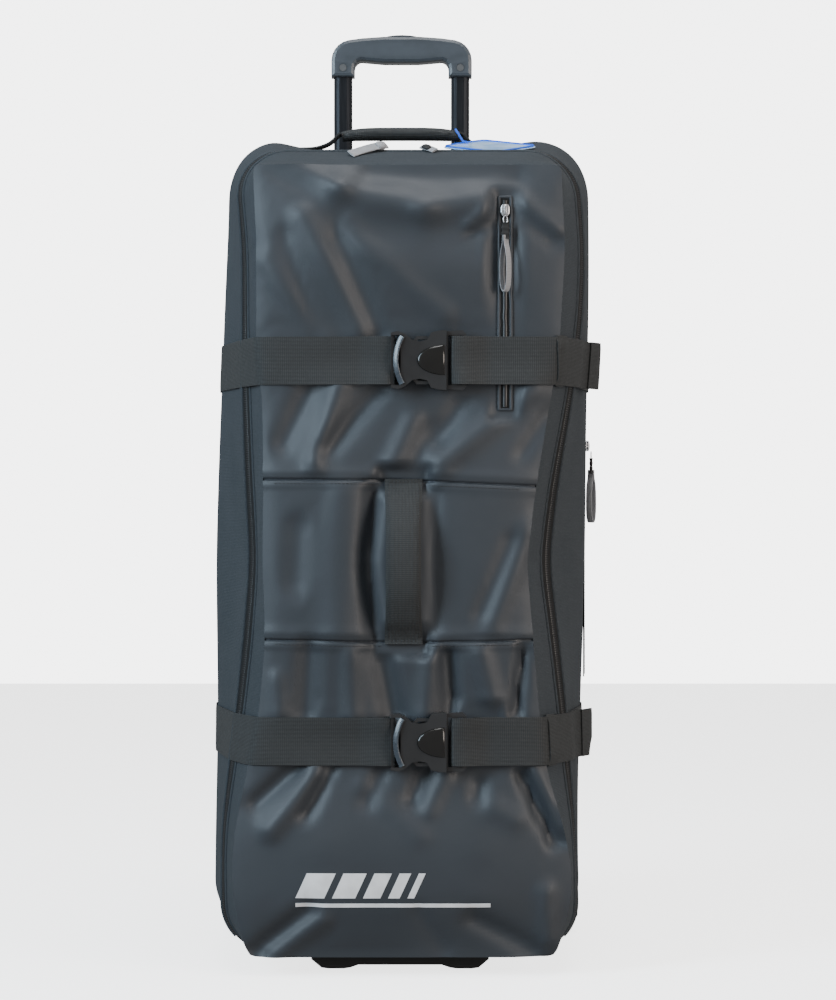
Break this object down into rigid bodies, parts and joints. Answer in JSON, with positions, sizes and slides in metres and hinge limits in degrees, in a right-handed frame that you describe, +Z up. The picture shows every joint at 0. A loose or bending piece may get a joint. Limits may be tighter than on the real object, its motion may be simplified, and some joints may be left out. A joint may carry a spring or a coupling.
{
  "type": "wheeled ski bag",
  "caption": "Tall wheeled duffel for ski gear: zipped front lid, buckled compression straps, carry handles, telescopic trolley handle, wheels and front foot.",
  "frame": {"origin": "on the floor, under the middle of the bag", "axes": "+Z up, +X to the right as seen from the front, +Y from the front lid to the back"},
  "size_m": [0.4196, 0.3775, 1.0362],
  "materials": {
    "ribbed_fabric": "matte fine-ribbed polyester",
    "front_nylon": "satin coated nylon",
    "zipper_tape": "matte woven tape with coil",
    "webbing": "matte ribbed webbing",
    "black_plastic": "moulded acetal, half gloss",
    "zinc": "polished zinc",
    "steel": "plain steel",
    "pull_webbing": "light reflective webbing",
    "board": "matte sheet",
    "outer_tube": "mill finish",
    "inner_tube": "black anodised, satin",
    "grip_plastic": "fine-grained moulding",
    "button_plastic": "satin moulding",
    "rubber": "matte",
    "tyre": "matte",
    "hub_plastic": "satin moulding",
    "tag_plastic": "translucent soft plastic",
    "tag_cord": "soft plastic cord"
  },
  "bodies": {
    "root": {"back_board": "board", "back_skid": "black_plastic", "base_board": "board", "body_shell": "ribbed_fabric", "front_foot": "rubber", "front_handle": "webbing", "lid_front_panel": "front_nylon", "lid_gusset": "ribbed_fabric", "lower_buckle_socket": "black_plastic", "lower_strap_left": "webbing", "lower_strap_right_side": "webbing", "main_zipper_tape": "zipper_tape", "pocket_zipper_tape": "zipper_tape", "side_zipper_tape": "zipper_tape", "top_handle_anchor_left": "webbing", "top_handle_anchor_right": "webbing", "trolley_bezel": "grip_plastic", "trolley_bottom_bracket": "black_plastic", "trolley_outer_tube_left": "outer_tube", "trolley_outer_tube_right": "outer_tube", "upper_buckle_socket": "black_plastic", "upper_strap_left": "webbing", "upper_strap_right_side": "webbing", "wheel_axle_left": "steel", "wheel_axle_right": "steel", "wheel_housing_left": "black_plastic", "wheel_housing_right": "black_plastic"},
    "trolley": {"trolley_grip": "grip_plastic", "trolley_inner_tube_left": "inner_tube", "trolley_inner_tube_right": "inner_tube", "grip_screw_left": "steel", "grip_screw_right": "steel"},
    "release_button": {"release_button": "button_plastic", "release_rod_left": "steel", "release_rod_right": "steel"},
    "wheel_left": {"wheel_tyre_left": "tyre", "wheel_hub_left": "hub_plastic"},
    "wheel_right": {"wheel_tyre_right": "tyre", "wheel_hub_right": "hub_plastic"},
    "top_handle": {"top_handle": "webbing"},
    "luggage_tag": {"luggage_tag": "tag_plastic", "tag_loop": "tag_cord"},
    "pocket_slider": {"pocket_zipper_slider": "zinc"},
    "pocket_pull": {"pocket_zipper_pull": "pull_webbing"},
    "side_slider": {"side_zipper_slider": "zinc"},
    "side_pull": {"side_zipper_pull": "pull_webbing"},
    "main_slider_left": {"main_zipper_slider_left": "zinc"},
    "main_pull_left": {"main_zipper_pull_left": "pull_webbing"},
    "main_slider_right": {"main_zipper_slider_right": "zinc"},
    "main_pull_right": {"main_zipper_pull_right": "pull_webbing"},
    "upper_plug": {"upper_buckle_plug": "black_plastic", "upper_strap_right_front": "webbing", "upper_strap_keeper": "webbing"},
    "upper_arm_top": {"upper_buckle_arm_top": "black_plastic"},
    "upper_arm_bottom": {"upper_buckle_arm_bottom": "black_plastic"},
    "lower_plug": {"lower_buckle_plug": "black_plastic", "lower_strap_right_front": "webbing", "lower_strap_keeper": "webbing"},
    "lower_arm_top": {"lower_buckle_arm_top": "black_plastic"},
    "lower_arm_bottom": {"lower_buckle_arm_bottom": "black_plastic"}
  },
  "joints": [
    {"name": "trolley_slide", "type": "slide", "parent": "root", "child": "trolley", "axis": [0, 0, 1], "range_m": [-0.093, 0.24]},
    {"name": "button_press", "type": "slide", "parent": "trolley", "child": "release_button", "axis": [0, 0, -1], "range_m": [0, 0.0035], "stiffness_N_per_m": 1500, "springref_m": -0.004},
    {"name": "wheel_left_spin", "type": "hinge", "parent": "root", "child": "wheel_left", "pos_m": [-0.169, 0.148, 0.04], "axis": [1, 0, 0], "continuous": true},
    {"name": "wheel_right_spin", "type": "hinge", "parent": "root", "child": "wheel_right", "pos_m": [0.169, 0.148, 0.04], "axis": [1, 0, 0], "continuous": true},
    {"name": "top_handle_swing", "type": "hinge", "parent": "root", "child": "top_handle", "pos_m": [0, 0.03, 0.8995], "axis": [1, 0, 0], "range_deg": [-35, 35]},
    {"name": "luggage_tag_flip", "type": "hinge", "parent": "root", "child": "luggage_tag", "pos_m": [0.061, 0.03, 0.8995], "axis": [-1, 0, 0], "range_deg": [0, 100]},
    {"name": "pocket_slider_slide", "type": "slide", "parent": "root", "child": "pocket_slider", "axis": [0, 0, -1], "range_m": [0, 0.0425]},
    {"name": "pocket_pull_swing", "type": "hinge", "parent": "pocket_slider", "child": "pocket_pull", "pos_m": [0.1095, -0.1644, 0.791], "axis": [-1, 0, 0], "range_deg": [0, 170]},
    {"name": "side_slider_slide", "type": "slide", "parent": "root", "child": "side_slider", "axis": [0, 0, -1], "range_m": [0, 0.17]},
    {"name": "side_pull_swing", "type": "hinge", "parent": "side_slider", "child": "side_pull", "pos_m": [0.2114, 0.025, 0.55], "axis": [0, -1, 0], "range_deg": [0, 170]},
    {"name": "main_slider_left_slide", "type": "slide", "parent": "root", "child": "main_slider_left", "axis": [-1, 0, 0], "range_m": [0, 0.07]},
    {"name": "main_pull_left_lift", "type": "hinge", "parent": "main_slider_left", "child": "main_pull_left", "pos_m": [-0.0115, -0.1065, 0.8685], "axis": [0, 1, 0], "range_deg": [0, 95]},
    {"name": "main_slider_right_slide", "type": "slide", "parent": "root", "child": "main_slider_right", "axis": [1, 0, 0], "range_m": [0, 0.045]},
    {"name": "main_pull_right_lift", "type": "hinge", "parent": "main_slider_right", "child": "main_pull_right", "pos_m": [0.0215, -0.1065, 0.8685], "axis": [0, -1, 0], "range_deg": [0, 95]},
    {"name": "upper_plug_slide", "type": "slide", "parent": "root", "child": "upper_plug", "axis": [1, 0, 0], "range_m": [0, 0.036]},
    {"name": "upper_arm_top_squeeze", "type": "hinge", "parent": "upper_plug", "child": "upper_arm_top", "pos_m": [0.0475, -0.1665, 0.6591], "axis": [0, -1, 0], "range_deg": [0, 6], "stiffness_Nm_per_rad": 0.3},
    {"name": "upper_arm_bottom_squeeze", "type": "hinge", "parent": "upper_plug", "child": "upper_arm_bottom", "pos_m": [0.0475, -0.1665, 0.6221], "axis": [0, 1, 0], "range_deg": [0, 6], "stiffness_Nm_per_rad": 0.3},
    {"name": "lower_plug_slide", "type": "slide", "parent": "root", "child": "lower_plug", "axis": [1, 0, 0], "range_m": [0, 0.036]},
    {"name": "lower_arm_top_squeeze", "type": "hinge", "parent": "lower_plug", "child": "lower_arm_top", "pos_m": [0.0475, -0.1665, 0.2639], "axis": [0, -1, 0], "range_deg": [0, 6], "stiffness_Nm_per_rad": 0.3},
    {"name": "lower_arm_bottom_squeeze", "type": "hinge", "parent": "lower_plug", "child": "lower_arm_bottom", "pos_m": [0.0475, -0.1665, 0.2269], "axis": [0, 1, 0], "range_deg": [0, 6], "stiffness_Nm_per_rad": 0.3}
  ],
  "couplings": [
    {"joint": "upper_arm_bottom_squeeze", "follows": "upper_arm_top_squeeze", "ratio": 1},
    {"joint": "lower_arm_bottom_squeeze", "follows": "lower_arm_top_squeeze", "ratio": 1}
  ]
}
